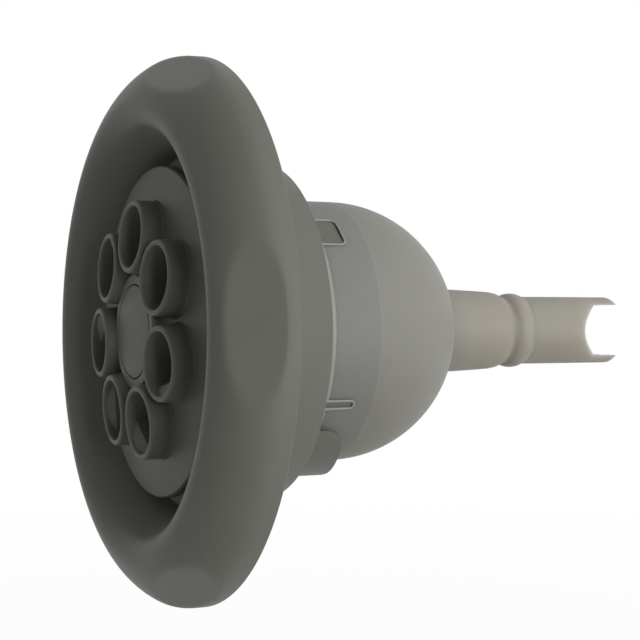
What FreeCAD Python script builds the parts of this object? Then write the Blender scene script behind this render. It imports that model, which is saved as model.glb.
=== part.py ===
import FreeCAD, Part
import math
import os
import Sketcher
from FreeCAD import Placement, Rotation, Vector

# A snap-in hot tub jet: a five inch grey face with a spinning seven port rotor, on a ball bearing, and a
# translucent domed diffuser with a forked stem.
# Every station along the jet is measured back from the front of the face, and every radius from its axis.

doc = FreeCAD.newDocument("hot_tub_jet")
sheet = doc.addObject("Spreadsheet::Sheet", "sizes")


class Size:
    """A number together with the sheet expression that it is worked out by."""

    def __init__(self, value, text):
        self.value = value
        self.text = text

    def __add__(self, other):
        other = as_size(other)
        return Size(self.value + other.value, f"({self.text} + {other.text})")

    def __sub__(self, other):
        other = as_size(other)
        return Size(self.value - other.value, f"({self.text} - {other.text})")

    def __mul__(self, other):
        other = as_size(other)
        return Size(self.value * other.value, f"({self.text} * {other.text})")

    def __truediv__(self, other):
        other = as_size(other)
        return Size(self.value / other.value, f"({self.text} / {other.text})")

    def __radd__(self, other):
        return as_size(other) + self

    def __rsub__(self, other):
        return as_size(other) - self

    def __rmul__(self, other):
        return as_size(other) * self

    def __neg__(self):
        return Size(-self.value, f"(-{self.text})")


def as_size(number):
    return number if isinstance(number, Size) else Size(float(number), repr(float(number)))


def cosine(angle):
    return Size(math.cos(math.radians(angle.value)), f"cos({angle.text})")


def sine(angle):
    return Size(math.sin(math.radians(angle.value)), f"sin({angle.text})")


def root(number):
    return Size(math.sqrt(number.value), f"sqrt({number.text})")


sheet_rows = []


def size(name, value, note):
    """Put one driving dimension in the sheet and hand back its name for use in the model."""
    row = len(sheet_rows) + 1
    sheet_rows.append(name)
    sheet.set(f"A{row}", note)
    sheet.set(f"B{row}", str(value))
    sheet.setAlias(f"B{row}", name)
    return Size(float(value), f"sizes.{name}")


# Overall
datum_at = size("datum_at", 47.9, "station of the frame's origin, on the diffuser's collar")
seat_gap = size("seat_gap", 0.2, "gap between a piece and the seat that it drops into")
running_gap = size("running_gap", 0.6, "radial gap round the rotor's skirt")

# Bearing, ten by twenty-two by six
bearing_front = size("bearing_front", 11.0, "station of the bearing's front face")
bearing_width = size("bearing_width", 6.0, "width of the bearing")
bearing_bore = size("bearing_bore", 5.0, "bore radius of the bearing")
inner_race_wall = size("inner_race_wall", 2.1, "wall of the inner race")
track_room = size("track_room", 1.8, "radial room between the races")
outer_race_wall = size("outer_race_wall", 2.1, "wall of the outer race")
ball_radius = size("ball_radius", 1.5875, "radius of a ball")
ball_gap = size("ball_gap", 0.06, "play of a ball in its track")
ball_count = 9
cage_gap = size("cage_gap", 0.4, "gap between the cage and a race")
cage_reach = size("cage_reach", 0.3, "how far the cage's fingers stand in front of the balls' middle")
cage_back = size("cage_back", 2.6, "how far the cage reaches behind the balls' middle")
pocket_gap = size("pocket_gap", 0.1, "play of a ball in the cage")
race_gap = size("race_gap", 0.02, "play of the outer race in the hub")
ring_groove = size("ring_groove", 0.6, "depth of the retaining ring's groove")
ring_thickness = size("ring_thickness", 1.0, "thickness of the retaining ring")
ring_width = size("ring_width", 1.7, "radial width of the retaining ring")
ring_play = size("ring_play", 0.15, "play of the retaining ring in its groove")
ring_angle = size("ring_angle", 318.0, "angle that the retaining ring spans")

bearing_rear = bearing_front + bearing_width
inner_land = bearing_bore + inner_race_wall
outer_land = inner_land + track_room
bearing_outer = outer_land + outer_race_wall
ball_pitch = inner_land + track_room / 2
groove_rear = bearing_rear + ring_thickness + 2 * ring_play

# Rotor
race_shoulder = size("race_shoulder", 1.6, "height of the hub's shoulder in front of the bearing")
cap_seat_width = size("cap_seat_width", 1.35, "width of the ledge under the cap's edge")
boss_wall = size("boss_wall", 2.45, "wall of the boss round the cap")
boss_front = size("boss_front", 1.9, "station of the boss's front")
boss_round = size("boss_round", 0.7, "round of the boss's front edge")
disc_edge_at = size("disc_edge_at", 7.1, "station of the disc's front edge")
disc_clear = size("disc_clear", 4.98, "gap between the disc's edge and the wall of the recess")
disc_rise = size("disc_rise", 2.6, "rise of the disc's low cone from its edge to its boss")
disc_wall = size("disc_wall", 2.6, "thickness of the disc")
disc_chamfer = size("disc_chamfer", 0.6, "chamfer of the disc's front edge")
hub_wall = size("hub_wall", 1.98, "wall of the hub outside the ring's groove")
hub_end = size("hub_end", 2.1, "length of the hub behind the ring's groove")
skirt_wall = size("skirt_wall", 1.8, "wall of the rotor's skirt")
skirt_room = size("skirt_room", 0.577, "gap between a port's bore and the skirt's inside")
skirt_end = size("skirt_end", 1.1, "how far the skirt reaches behind the hub")
rotor_turn = size("rotor_turn", 5.4, "turn of the rotor at rest")

# Ports of the rotor
port_count = size("port_count", 7, "number of ports")
port_room = size("port_room", 0.1, "gap between a port's lip and the boss")
port_lip_at = size("port_lip_at", 0.24, "station of the port lips")
port_splay = size("port_splay", 4.6, "outward splay of each port")
port_bore = size("port_bore", 7.1, "bore of a port")
port_wall = size("port_wall", 1.24, "wall of a port at its lip")
port_draft = size("port_draft", 0.9, "how much a port widens to the disc")
port_base = size("port_base", 7.2, "depth from the lip to the disc")
port_tail_wall = size("port_tail_wall", 1.2, "wall of a port behind the disc")
port_depth = size("port_depth", 16.0, "length of a port")
ramp_turn = size("ramp_turn", -60.0, "angle of the ramp round the port")
ramp_start = size("ramp_start", 0.9, "depth where the ramp leaves the bore")
ramp_edge_depth = size("ramp_edge_depth", 2.6, "depth of the ramp's edge")
ramp_edge_step = size("ramp_edge_step", 1.6, "distance of the ramp's edge from the bore's wall")
ramp_foot_step = size("ramp_foot_step", 4.5, "distance of the ramp's foot from the bore's wall")

hub_cavity = bearing_outer - race_shoulder
hub_radius = bearing_outer + race_gap + ring_groove + hub_wall
hub_rear = groove_rear + hub_end
cap_radius = hub_cavity + cap_seat_width
boss_radius = cap_radius + seat_gap + boss_wall
port_radius = port_bore + port_wall
port_tail = port_bore + port_tail_wall
port_pitch = boss_radius + port_room + port_radius
skirt_bore = port_pitch + port_depth * sine(port_splay) + port_bore + skirt_room
skirt_radius = skirt_bore + skirt_wall
skirt_rear = hub_rear + skirt_end
throat_radius = skirt_radius + running_gap

# Face of the escutcheon
rim_rear = size("rim_rear", 14.8, "station of the rim's rear edge")
face_wall = size("face_wall", 3.0, "wall of the face")
rim_edge_wall = size("rim_edge_wall", 2.4, "wall at the rim's rear edge")
lip_round = size("lip_round", 5.5, "outer round of the mouth lip")
lip_tangent = size("lip_tangent", 69.7, "slope where the lip round meets the face")
face_round = size("face_round", 17.0, "round of the face")
shoulder_tangent = size("shoulder_tangent", 30.0, "slope where the face meets its shoulder")
shoulder_round = size("shoulder_round", 8.0, "round of the shoulder")
recess_slope = size("recess_slope", 27.7, "slope of the recess wall")
recess_floor = size("recess_floor", 14.3, "station of the recess floor")
floor_width = size("floor_width", 7.667, "width of the recess floor round the throat")
floor_wall = size("floor_wall", 2.6, "wall of the recess floor")

# Finger flats round the face
flat_count = size("flat_count", 5, "number of finger flats")
flat_turn = size("flat_turn", 2.0, "angle of the first flat, up from the near side")
flat_front = size("flat_front", 1.35, "station where a flat begins")
flat_front_drop = size("flat_front_drop", 7.6, "how far inside the rim a flat begins")
flat_rear = size("flat_rear", 12.3, "station where a flat ends")
flat_rear_drop = size("flat_rear_drop", 0.05, "how far inside the rim a flat ends")
flat_reach = size("flat_reach", 9.0, "how far the cutting block stands out of the flat")
flat_length = size("flat_length", 60.0, "length of the cutting block along the rim")

# Diffuser: collar, dome and stem in one
dome_radius = size("dome_radius", 31.5, "outer radius of the collar and the dome")
dome_wall = size("dome_wall", 2.25, "wall of the collar and the dome")
collar_fit = size("collar_fit", 0.25, "gap between the barrel and the collar")
collar_lead = size("collar_lead", 3.7, "gap between the taper's end and the collar's front edge")
collar_grip = size("collar_grip", 11.6, "length of the barrel inside the collar")
ledge_height = size("ledge_height", 0.95, "height of the ledge that the barrel stops against")
ledge_length = size("ledge_length", 1.0, "length of the ledge")
notch_turn = size("notch_turn", 48.0, "angle of the notch")
notch_width = size("notch_width", 7.6, "width of the notch")
notch_depth = size("notch_depth", 5.4, "depth of the notch")
notch_corner = size("notch_corner", 1.5, "round of the notch's corners")
slit_turn = size("slit_turn", -31.6, "angle of the slit")
slit_width = size("slit_width", 2.1, "width of the slit")
slit_depth = size("slit_depth", 5.9, "depth of the slit")
stem_bore = size("stem_bore", 6.9, "bore of the stem")
stem_wall = size("stem_wall", 1.9, "wall of the stem")
stem_mouth_flare = size("stem_mouth_flare", 1.5, "how much the stem's bore widens into the dome")
stem_mouth_length = size("stem_mouth_length", 40.9, "distance from the dome's centre to the plain bore")
stem_root_flare = size("stem_root_flare", 1.8, "how much the stem widens to the dome")
stem_taper_flare = size("stem_taper_flare", 1.1, "how much wider the stem is at the rear end of its root")
stem_taper_length = size("stem_taper_length", 46.9, "distance from the dome's centre to the root's rear end")
root_round = size("root_round", 7.0, "round of the root's rear end")
root_end = size("root_end", 3.7, "length of that round")
bead_height = size("bead_height", 0.85, "height of the snap bead on the stem")
bead_length = size("bead_length", 5.3, "length of the snap bead on the stem")
stem_length = size("stem_length", 28.3, "length of the stem behind the bead")
stem_chamfer = size("stem_chamfer", 0.8, "chamfer of the stem's end")
fork_half_width = size("fork_half_width", 6.7, "half the width of the fork's slot")
fork_depth = size("fork_depth", 12.7, "depth of the fork's slot")

# Throat, barrel, neck and tongue of the escutcheon
throat_wall = size("throat_wall", 2.4, "wall of the throat")
barrel_wall = size("barrel_wall", 2.2, "wall of the barrel")
taper_length = size("taper_length", 10.8, "length of the taper from the throat to the barrel")
snap_height = size("snap_height", 1.0, "height of the snap bead in the throat")
snap_length = size("snap_length", 1.6, "length of the snap bead")
snap_clear = size("snap_clear", 0.9, "gap between the rotor's skirt and the snap bead")
neck_room = size("neck_room", 1.6, "least radial room between the throat and the neck")
neck_wall = size("neck_wall", 2.4, "wall of the neck")
neck_rear = size("neck_rear", 32.9, "station of the neck's rear edge")
tongue_clear = size("tongue_clear", 0.7, "gap between the tongue and the collar")
tongue_wall = size("tongue_wall", 3.3, "thickness of the tongue")
tongue_root = size("tongue_root", 3.0, "how far behind the taper's front the tongue's inside starts")
tongue_length = size("tongue_length", 5.5, "length of the tongue beside the collar")
tongue_turn = size("tongue_turn", -70.0, "angle of the tongue's middle")
tongue_angle = size("tongue_angle", 62.0, "angle that the tongue spans")
tongue_corner = size("tongue_corner", 4.0, "round of the tongue's corners")
rib_count = size("rib_count", 10, "number of ribs behind the face")
rib_thickness = size("rib_thickness", 1.6, "thickness of a rib")
rib_length = size("rib_length", 5.1, "how far a rib runs back along the neck")
rib_drop = size("rib_drop", 2.5, "how far a rib stops short of the rim's rear edge")
rib_turn = size("rib_turn", 20.0, "angle of the first rib")

taper_front = skirt_rear + snap_clear + snap_length
taper_rear = taper_front + taper_length
barrel_outer = dome_radius - dome_wall - collar_fit
barrel_bore = barrel_outer - barrel_wall
collar_front = taper_rear + collar_lead
barrel_rear = collar_front + collar_grip
dome_centre = barrel_rear + ledge_length
tongue_rear = collar_front + tongue_length
neck_radius = throat_radius + throat_wall + neck_room + neck_wall
stem_radius = stem_bore + stem_wall
stem_taper_rear = dome_centre + stem_taper_length
groove_at = stem_taper_rear + root_end
stem_rear = groove_at + bead_length + stem_length

# Cap
cap_front = size("cap_front", 1.84, "station of the cap's front")
cap_thickness = size("cap_thickness", 1.9, "thickness of the cap")
cap_chamfer = size("cap_chamfer", 0.4, "chamfer of the cap")
cap_plug_wall = size("cap_plug_wall", 1.3, "wall of the ring that plugs the cap in the hub")
cap_plug_length = size("cap_plug_length", 3.0, "length of that ring")

# Carrier, its screw and its washer
carrier_wall = size("carrier_wall", 2.2, "wall of the carrier's ring")
carrier_lead = size("carrier_lead", 0.4, "gap between the snap bead and the carrier's ring")
carrier_tail = size("carrier_tail", 1.3, "how far the carrier's ring stops short of the taper's end")
arm_count = size("arm_count", 4, "number of arms")
arm_thickness = size("arm_thickness", 2.4, "thickness of an arm")
arm_inset = size("arm_inset", 1.6, "how far an arm starts behind the ring's front")
arm_tail = size("arm_tail", 0.5, "how far an arm stops short of the ring's rear")
arm_turn = size("arm_turn", 45.0, "angle of the first arm")
spindle_gap = size("spindle_gap", 0.02, "play of the spindle in the bearing")
spindle_step = size("spindle_step", 1.3, "height of the spindle's shoulder behind the bearing")
spindle_recess = size("spindle_recess", 0.4, "how far the spindle ends behind the bearing's front")
carrier_clear = size("carrier_clear", 1.0, "gap between the rotor's hub and the carrier's hub")
carrier_flare = size("carrier_flare", 2.0, "length over which the carrier's hub widens")
carrier_hub_step = size("carrier_hub_step", 1.9, "how much wider the carrier's hub is than its shoulder")
nose_length = size("nose_length", 4.5, "length of the rounded nose of the hub")
nose_round = size("nose_round", 7.0, "round of the nose")
nose_flat = size("nose_flat", 2.5, "radius of the flat at the nose's tip")
screw_radius = size("screw_radius", 2.0, "radius of the screw's shank")
screw_length = size("screw_length", 16.0, "length of the screw's shank")
screw_head_radius = size("screw_head_radius", 4.0, "radius of the screw's head")
screw_head_height = size("screw_head_height", 2.6, "height of the screw's head")
screw_head_round = size("screw_head_round", 1.2, "round of the screw's head")
screw_clear = size("screw_clear", 0.05, "gap round the screw's shank")
screw_tip = size("screw_tip", 0.8, "space behind the screw's tip")
screw_slot = size("screw_slot", 1.1, "width of the screw's cross recess")
screw_slot_edge = size("screw_slot_edge", 1.7, "least distance from the cross recess to the head's edge")
screw_slot_depth = size("screw_slot_depth", 1.4, "depth of the screw's cross recess")
washer_edge = size("washer_edge", 1.4, "how far the washer reaches out over the inner race")
washer_thickness = size("washer_thickness", 1.0, "thickness of the washer")
washer_clear = size("washer_clear", 0.2, "gap round the screw in the washer")

carrier_front = taper_front + carrier_lead
carrier_rear = taper_rear - carrier_tail
arm_front = carrier_front + arm_inset
arm_rear = carrier_rear - arm_tail
spindle_shoulder = bearing_bore + spindle_step
carrier_neck = hub_rear + carrier_clear
carrier_hub_front = carrier_neck + carrier_flare
carrier_hub = spindle_shoulder + carrier_hub_step
carrier_nose = carrier_rear + nose_length

doc.recompute()


def plane(body, role):
    """One of the body's own origin planes or axes, found by its role."""
    for feature in body.Origin.OriginFeatures:
        if feature.Role == role:
            return feature
    raise ValueError(role)


def bind(thing, prop, number):
    """Tie a property to the sheet."""
    thing.setExpression(prop, as_size(number).text)


def new_body(label, at_origin=True, turn=None):
    """A body whose stations start at the front of the face; the frame's origin is its datum."""
    body = doc.addObject("PartDesign::Body", label)
    body.Label = label
    if at_origin:
        place(body, turn)
    return body


def place(thing, turn=None):
    """Shift a finished piece so that the datum is the origin, and turn it about the jet's axis."""
    thing.Placement = Placement(Vector(0, 0, 0), Rotation(Vector(0, 1, 0), 1 if turn else 0))
    bind(thing, "Placement.Base.y", -datum_at)
    if turn:
        bind(thing, "Placement.Rotation.Angle", turn)


def draw(body, name, points, arcs=None, turn=0, shift=(0, 0, 0), slope=0):
    """Draw a closed outline on the plane through the jet's axis.

    points are (station, radius) pairs. arcs gives, for the side that starts at a point's number, its radius
    and +1 or -1 for the side to which it bulges. shift moves the outline's own origin, slope turns it in its
    plane and turn then swings it about its own axis.
    """
    arcs = arcs or {}
    sketch = body.newObject("Sketcher::SketchObject", name)
    sketch.AttachmentSupport = [(plane(body, "YZ_Plane"), "")]
    sketch.MapMode = "FlatFace"
    along, across, off = (as_size(amount).text for amount in shift)
    spin = f"rotationz({as_size(slope).text}) * rotationx({as_size(turn).text})"
    sketch.setExpression("AttachmentOffset", f"placement(vector({along}; {across}; {off}); {spin})")
    corners = [(as_size(x), as_size(y)) for x, y in points]
    count = len(corners)
    for number in range(count):
        start, end = corners[number], corners[(number + 1) % count]
        a = Vector(start[0].value, start[1].value, 0)
        b = Vector(end[0].value, end[1].value, 0)
        if number in arcs:
            radius, side = arcs[number]
            sketch.addGeometry(arc_between(a, b, as_size(radius).value, side), False)
        else:
            sketch.addGeometry(Part.LineSegment(a, b), False)
    # An arc is always stored turning left, so its ends may be swapped against the outline's own direction.
    first = [end_number(arcs, number, True) for number in range(count)]
    last = [end_number(arcs, number, False) for number in range(count)]
    for number in range(count):
        after = (number + 1) % count
        sketch.addConstraint(Sketcher.Constraint("Coincident", number, last[number], after, first[after]))
    for number, (x, y) in enumerate(corners):
        pin(sketch, "DistanceX", number, first[number], x, -2)
        pin(sketch, "DistanceY", number, first[number], y, -1)
    for number in arcs:
        radius = as_size(arcs[number][0])
        where = sketch.addConstraint(Sketcher.Constraint("Radius", number, radius.value))
        sketch.setExpression(f"Constraints[{where}]", radius.text)
    return sketch


def end_number(arcs, number, is_first):
    """The sketcher's number for one end of a side: 1 is its start and 2 its end."""
    swapped = number in arcs and arcs[number][1] > 0
    return 1 if is_first != swapped else 2


def arc_between(a, b, radius, side):
    """The short arc from a to b that bulges to the left (+1) or the right (-1) of the way."""
    chord = b - a
    middle = (a + b) * 0.5
    left = Vector(-chord.y, chord.x, 0)
    left.normalize()
    to_centre = math.sqrt(max(radius ** 2 - (chord.Length / 2) ** 2, 0.0))
    centre = middle - left * (to_centre * side)
    return Part.Arc(a, centre + left * (radius * side), b)


def pin(sketch, kind, number, end, distance, axis):
    """Hold one coordinate of a point, on the axis itself where it is nought."""
    if abs(distance.value) < 1e-9 and "sizes" not in distance.text:
        sketch.addConstraint(Sketcher.Constraint("PointOnObject", number, end, axis))
        return
    if distance.value < 0:
        distance = -distance
        constraint = Sketcher.Constraint(kind, number, end, -1, 1, distance.value)
    else:
        constraint = Sketcher.Constraint(kind, -1, 1, number, end, distance.value)
    where = sketch.addConstraint(constraint)
    sketch.setExpression(f"Constraints[{where}]", distance.text)


def revolve(body, name, sketch, kind="Revolution", angle=None):
    """Turn an outline about its own first axis."""
    feature = body.newObject(f"PartDesign::{kind}", name)
    feature.Profile = sketch
    feature.ReferenceAxis = (sketch, ["H_Axis"])
    feature.Angle = 360.0
    if angle is not None:
        feature.Midplane = True
        bind(feature, "Angle", angle)
    sketch.Visibility = False
    body.Tip = feature
    return feature


def pad(body, name, sketch, thickness):
    """Thicken an outline evenly to both sides of its plane."""
    feature = body.newObject("PartDesign::Pad", name)
    feature.Profile = sketch
    feature.Midplane = True
    bind(feature, "Length", thickness)
    sketch.Visibility = False
    body.Tip = feature
    return feature


def cut_both_ways(body, name, sketch, length):
    """Cut an outline evenly to both sides of its plane."""
    feature = body.newObject("PartDesign::Pocket", name)
    feature.Profile = sketch
    feature.Midplane = True
    bind(feature, "Length", length)
    sketch.Visibility = False
    body.Tip = feature
    return feature


def cut_outwards(body, name, sketch, length):
    """Cut an outline from the jet's axis out to one side only."""
    feature = body.newObject("PartDesign::Pocket", name)
    feature.Profile = sketch
    feature.Reversed = True
    bind(feature, "Length", length)
    sketch.Visibility = False
    body.Tip = feature
    return feature


def repeat_round(body, name, features, count):
    """Repeat features evenly round the jet's axis."""
    pattern = body.newObject("PartDesign::PolarPattern", name)
    pattern.Originals = features
    pattern.Axis = (plane(body, "Y_Axis"), [""])
    pattern.Angle = 360.0
    bind(pattern, "Occurrences", count)
    body.Tip = pattern
    return pattern


def ring_section(body, name, front, rear, inner, outer):
    """A plain rectangular ring."""
    outline = [(front, inner), (rear, inner), (rear, outer), (front, outer)]
    return revolve(body, name, draw(body, f"{name}_outline", outline))


# Places on the face's section. The lip round, the face and the shoulder run into one another smoothly, so
# each one's centre follows from the slope at which it meets the next.
lip_centre = lip_round
recess_start = lip_centre - lip_round * sine(recess_slope)
recess_climb = (recess_floor - recess_start) * sine(recess_slope) / cosine(recess_slope)
lip_radius = throat_radius + floor_width + recess_climb + lip_round * cosine(recess_slope)
rim_radius = (
    lip_radius
    + lip_round * cosine(lip_tangent)
    + face_round * (cosine(shoulder_tangent) - cosine(lip_tangent))
    + shoulder_round * (1 - cosine(shoulder_tangent))
)
face_start = lip_centre - lip_round * sine(lip_tangent)
face_centre = face_start + face_round * sine(lip_tangent)
shoulder_start = face_centre - face_round * sine(shoulder_tangent)
shoulder_centre = shoulder_start + shoulder_round * sine(shoulder_tangent)
shoulder_centre_radius = rim_radius - shoulder_round
face_centre_radius = lip_radius + (lip_round - face_round) * cosine(lip_tangent)
floor_rear = recess_floor + floor_wall


def on_round(centre, centre_radius, round_radius, slope, outwards=1):
    """The point on a round where the section's slope to the jet's axis is the given one."""
    station = centre - round_radius * sine(slope)
    radius = centre_radius + outwards * round_radius * cosine(slope)
    return station, radius


def face_points(depth):
    """The smooth run of the face from the mouth to the rim, at a depth under its outer surface."""
    return [
        on_round(lip_centre, lip_radius, lip_round - depth, recess_slope, -1),
        on_round(lip_centre, lip_radius, lip_round - depth, lip_tangent),
        on_round(face_centre, face_centre_radius, face_round - depth, shoulder_tangent),
        (shoulder_centre, shoulder_centre_radius + shoulder_round - depth),
    ]


def recess_radius(station, depth):
    """Radius of the recess wall's straight cone, or of its back at a depth, at a station."""
    start, radius = on_round(lip_centre, lip_radius, lip_round - depth, recess_slope, -1)
    return radius - (station - start) * (sine(recess_slope) / cosine(recess_slope))


def neck_outer(station):
    """Outer radius of the tapered neck at a station."""
    front_radius = recess_radius(floor_rear, face_wall)
    share = (station - floor_rear) / (neck_rear - floor_rear)
    return front_radius - (front_radius - neck_radius) * share


def taper_radius(station):
    """Bore of the tapered seat between the throat and the barrel at a station."""
    share = (station - taper_front) / (taper_rear - taper_front)
    return throat_radius - (throat_radius - barrel_bore) * share


throat_outer = throat_radius + throat_wall
disc_rear = disc_edge_at + disc_wall
disc_radius = recess_radius(disc_rear, 0) - disc_clear


def make_escutcheon():
    """The grey moulding: face, recess, neck, barrel and tongue."""
    shell = new_body("escutcheon_shell", at_origin=False)
    front = face_points(0)
    back = face_points(face_wall)
    snap_front = taper_front - snap_length
    section = [
        (recess_floor, throat_radius),
        (recess_floor, recess_radius(recess_floor, 0)),
        *front,
        (rim_rear, rim_radius),
        (rim_rear, rim_radius - rim_edge_wall),
        *reversed(back),
        (floor_rear, recess_radius(floor_rear, face_wall)),
        (neck_rear, neck_radius),
        (neck_rear, neck_radius - neck_wall),
        (floor_rear, neck_outer(floor_rear) - neck_wall),
        (floor_rear, throat_outer),
        (taper_front, throat_outer),
        (taper_rear, barrel_outer),
        (barrel_rear, barrel_outer),
        (barrel_rear, barrel_bore),
        (taper_rear, barrel_bore),
        (taper_front, throat_radius),
        (taper_front - snap_length / 4, throat_radius - snap_height),
        (snap_front + snap_length / 4, throat_radius - snap_height),
        (snap_front, throat_radius),
    ]
    arcs = {
        2: (lip_round, 1),
        3: (face_round, 1),
        4: (shoulder_round, 1),
        8: (shoulder_round - face_wall, -1),
        9: (face_round - face_wall, -1),
        10: (lip_round - face_wall, -1),
    }
    revolve(shell, "escutcheon_turned", draw(shell, "escutcheon_section", section, arcs))

    # One rib is a thin web behind the face, from the rim to the neck; its outer edges end inside the walls.
    half_wall = face_wall / 2
    rib_outline = [
        (rim_rear - rib_drop, rim_radius - rim_edge_wall / 2),
        (shoulder_start, face_points(half_wall)[2][1]),
        face_points(half_wall)[1],
        face_points(half_wall)[0],
        (floor_rear, neck_outer(floor_rear) - neck_wall / 2),
        (floor_rear + rib_length, neck_outer(floor_rear + rib_length) - neck_wall / 2),
    ]
    rib = pad(shell, "rib", draw(shell, "rib_outline", rib_outline, turn=-rib_turn), rib_thickness)
    repeat_round(shell, "ribs", [rib], rib_count)

    # The tool that leaves one finger flat stands on the straight line between the flat's two ends.
    run = flat_rear - flat_front
    climb = flat_front_drop - flat_rear_drop
    ahead = (flat_front - run / 2, rim_radius - flat_front_drop - climb / 2)
    behind = (flat_rear + run / 2, rim_radius - flat_rear_drop + climb / 2)
    length = root(run * run + climb * climb)
    out_station = -climb / length * flat_reach
    out_radius = run / length * flat_reach
    lift = flat_reach
    tool = [
        (ahead[0] + lift, ahead[1]),
        (behind[0] + lift, behind[1]),
        (behind[0] + out_station + lift, behind[1] + out_radius),
        (ahead[0] + out_station + lift, ahead[1] + out_radius),
    ]
    flat_sketch = draw(shell, "flat_outline", tool, turn=-flat_turn + 90, shift=(-lift, 0, 0))
    flat = cut_both_ways(shell, "flat", flat_sketch, flat_length)
    repeat_round(shell, "flats", [flat], flat_count)

    tongue = new_body("tongue", at_origin=False)
    inner = dome_radius + tongue_clear
    tongue_section = [
        (taper_front + tongue_root, inner),
        (tongue_rear, inner),
        (tongue_rear, inner + tongue_wall),
        (taper_front, inner + tongue_wall),
    ]
    tongue_sketch = draw(tongue, "tongue_outline", tongue_section, turn=-tongue_turn + 90)
    swept = revolve(tongue, "tongue_swept", tongue_sketch, angle=tongue_angle)
    doc.recompute()
    corners = tongue.newObject("PartDesign::Fillet", "tongue_corners")
    corners.Base = (swept, straight_edges_at(swept.Shape, tongue_rear.value))
    bind(corners, "Radius", tongue_corner)
    tongue.Tip = corners

    whole = doc.addObject("Part::MultiFuse", "escutcheon")
    whole.Shapes = [shell, tongue]
    whole.Label = "escutcheon"
    place(whole)
    return whole


def straight_edges_at(shape, station):
    """Names of the straight edges that lie wholly at one station."""
    names = []
    for number, edge in enumerate(shape.Edges, start=1):
        is_there = all(abs(vertex.Y - station) < 1e-6 for vertex in edge.Vertexes)
        if is_there and edge.Curve.TypeId == "Part::GeomLine":
            names.append(f"Edge{number}")
    return names


def make_rotor():
    """The spinning disc with its seven splayed ports, its hub and its skirt."""
    blank = new_body("rotor_blank", at_origin=False)
    hub_bore = bearing_outer + race_gap
    boss_foot = disc_edge_at - disc_rise
    cap_seat = cap_front + cap_thickness
    section = [
        (boss_front, cap_radius + seat_gap),
        (boss_front, boss_radius - boss_round),
        (boss_front + boss_round, boss_radius),
        (boss_foot, boss_radius),
        (disc_edge_at, disc_radius - disc_chamfer),
        (disc_edge_at + disc_chamfer, disc_radius),
        (disc_rear, disc_radius),
        (disc_rear, skirt_radius),
        (skirt_rear, skirt_radius),
        (skirt_rear, skirt_bore),
        (disc_rear, skirt_bore),
        (boss_foot + disc_wall, hub_radius),
        (hub_rear, hub_radius),
        (hub_rear, hub_bore),
        (groove_rear, hub_bore),
        (groove_rear, hub_bore + ring_groove),
        (bearing_rear, hub_bore + ring_groove),
        (bearing_rear, hub_bore),
        (bearing_front, hub_bore),
        (bearing_front, hub_cavity),
        (cap_seat, hub_cavity),
        (cap_seat, cap_radius + seat_gap),
    ]
    revolve(blank, "rotor_turned", draw(blank, "rotor_section", section, {1: (boss_round, 1)}))

    # A port is turned about its own splayed axis, which starts in the middle of its lip.
    to_port = (port_lip_at, port_pitch, 0)
    lip_wall = port_wall
    tube_section = [
        (lip_wall / 2, 0),
        (port_depth, 0),
        (port_depth, port_tail),
        (port_base, port_tail),
        (port_base, port_radius + port_draft),
        (lip_wall / 2, port_radius),
        (0, port_radius - lip_wall / 2),
        (0, port_bore),
        (lip_wall / 2, port_bore),
    ]
    splayed = {"shift": to_port, "slope": -port_splay}
    tube_sketch = draw(blank, "port_outline", tube_section, {5: (lip_wall / 2, -1)}, **splayed)
    tube = revolve(blank, "port", tube_sketch)
    hole_section = [(0, 0), (port_depth + 1, 0), (port_depth + 1, port_bore), (0, port_bore)]
    hole_sketch = draw(blank, "port_hole_outline", hole_section, **splayed)
    hole = revolve(blank, "port_hole", hole_sketch, "Groove")
    repeat_round(blank, "ports", [tube, hole], port_count)

    # The ramp inside a port is a wedge across its bore, turned down to the bore so that it only just joins it.
    ramps = new_body("port_ramps", at_origin=False)
    ramps.AllowCompound = True
    joined = port_bore + lip_wall / 4
    wedge = [
        (ramp_start, joined),
        (ramp_edge_depth, port_bore - ramp_edge_step),
        (port_depth, port_bore - ramp_foot_step),
        (port_depth, joined),
    ]
    where = {**splayed, "turn": -ramp_turn}
    ramp = pad(ramps, "ramp", draw(ramps, "ramp_outline", wedge, **where), 2 * joined)
    beyond = port_bore * 1.5
    trim_section = [(0, joined), (port_depth + 1, joined), (port_depth + 1, beyond), (0, beyond)]
    trim = revolve(ramps, "ramp_trim", draw(ramps, "ramp_trim_outline", trim_section, **where), "Groove")
    repeat_round(ramps, "ramps", [ramp, trim], port_count)

    whole = doc.addObject("Part::MultiFuse", "rotor")
    whole.Shapes = [blank, ramps]
    whole.Label = "rotor"
    place(whole, rotor_turn)
    return whole


def make_cap():
    """The domed plug that closes the hub in front of the bearing's screw."""
    body = new_body("rotor_cap")
    seat = cap_front + cap_thickness
    plug_radius = hub_cavity - seat_gap / 2
    section = [
        (cap_front, 0),
        (cap_front, cap_radius - cap_chamfer),
        (cap_front + cap_chamfer, cap_radius),
        (seat, cap_radius),
        (seat, plug_radius),
        (seat + cap_plug_length, plug_radius),
        (seat + cap_plug_length, plug_radius - cap_plug_wall),
        (seat, plug_radius - cap_plug_wall),
        (seat, 0),
    ]
    revolve(body, "cap_turned", draw(body, "cap_section", section))
    return body


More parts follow.
